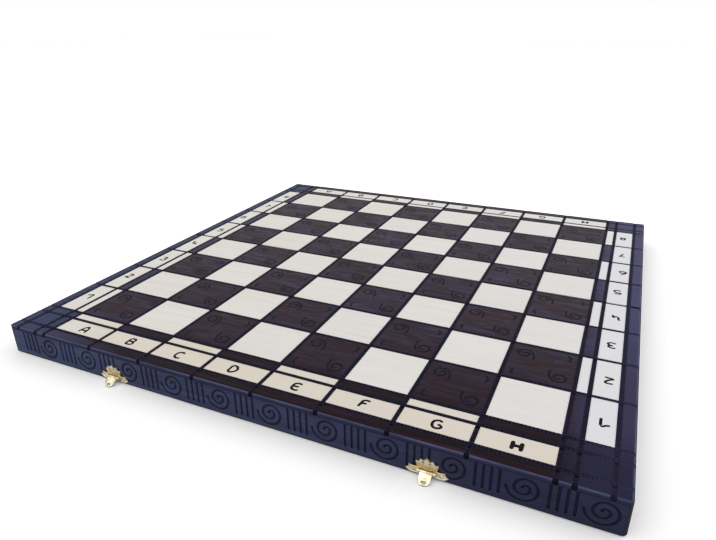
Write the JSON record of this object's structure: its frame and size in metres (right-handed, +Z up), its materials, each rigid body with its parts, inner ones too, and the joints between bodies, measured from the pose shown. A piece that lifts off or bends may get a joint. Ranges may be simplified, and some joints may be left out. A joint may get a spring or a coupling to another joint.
{
  "type": "chess box",
  "caption": "Folding wooden chess box that opens flat into a coordinate board, with two fitted trays, hinges and hasp latches.",
  "frame": {"origin": "on the table, under the middle of the fold, with the box open flat and its playing side up", "axes": "+X along the ranks towards file H, +Y from the front half to the back half, +Z up"},
  "size_m": [0.552, 0.5652, 0.0294],
  "materials": {
    "stained_wood": "dark stained and lacquered, satin gloss",
    "light_wood": "pale, lacquered, satin gloss",
    "inner_wood": "plain, unlacquered",
    "felt": "short felt",
    "brass_plate": "stamped, bright plated",
    "steel": "bright"
  },
  "bodies": {
    "front_half": {"front_panel": "stained_wood", "front_outer_rail": "stained_wood", "front_left_rail": "stained_wood", "front_right_rail": "stained_wood", "front_hinge_rail": "stained_wood", "front_light_squares": "light_wood", "front_band_inlay": "light_wood", "front_label_inlay": "light_wood", "front_lining": "felt", "front_divider": "inner_wood", "front_rack": "inner_wood", "left_hinge_front_leaf": "brass_plate", "right_hinge_front_leaf": "brass_plate", "left_hinge_pin": "steel", "right_hinge_pin": "steel", "front_hinge_screws": "steel", "left_latch_plate": "brass_plate", "right_latch_plate": "brass_plate", "left_latch_pin": "steel", "right_latch_pin": "steel", "latch_nails": "brass_plate"},
    "back_half": {"back_panel": "stained_wood", "back_outer_rail": "stained_wood", "back_left_rail": "stained_wood", "back_right_rail": "stained_wood", "back_hinge_rail": "stained_wood", "back_light_squares": "light_wood", "back_band_inlay": "light_wood", "back_label_inlay": "light_wood", "back_lining": "felt", "back_divider": "inner_wood", "back_rack": "inner_wood", "left_hinge_back_leaf": "brass_plate", "right_hinge_back_leaf": "brass_plate", "back_hinge_screws": "steel", "left_catch_plate": "brass_plate", "right_catch_plate": "brass_plate", "catch_nails": "brass_plate"},
    "left_hasp": {"left_hasp": "brass_plate"},
    "right_hasp": {"right_hasp": "brass_plate"}
  },
  "joints": [
    {"name": "fold", "type": "hinge", "parent": "front_half", "child": "back_half", "pos_m": [0, 0, 0.00125], "axis": [-1, 0, 0], "range_deg": [0, 180]},
    {"name": "left_hasp_swing", "type": "hinge", "parent": "front_half", "child": "left_hasp", "pos_m": [-0.146, -0.278, 0.0062], "axis": [-1, 0, 0], "range_deg": [-52.83, 97.17]},
    {"name": "right_hasp_swing", "type": "hinge", "parent": "front_half", "child": "right_hasp", "pos_m": [0.146, -0.278, 0.0062], "axis": [-1, 0, 0], "range_deg": [-52.83, 97.17]}
  ]
}
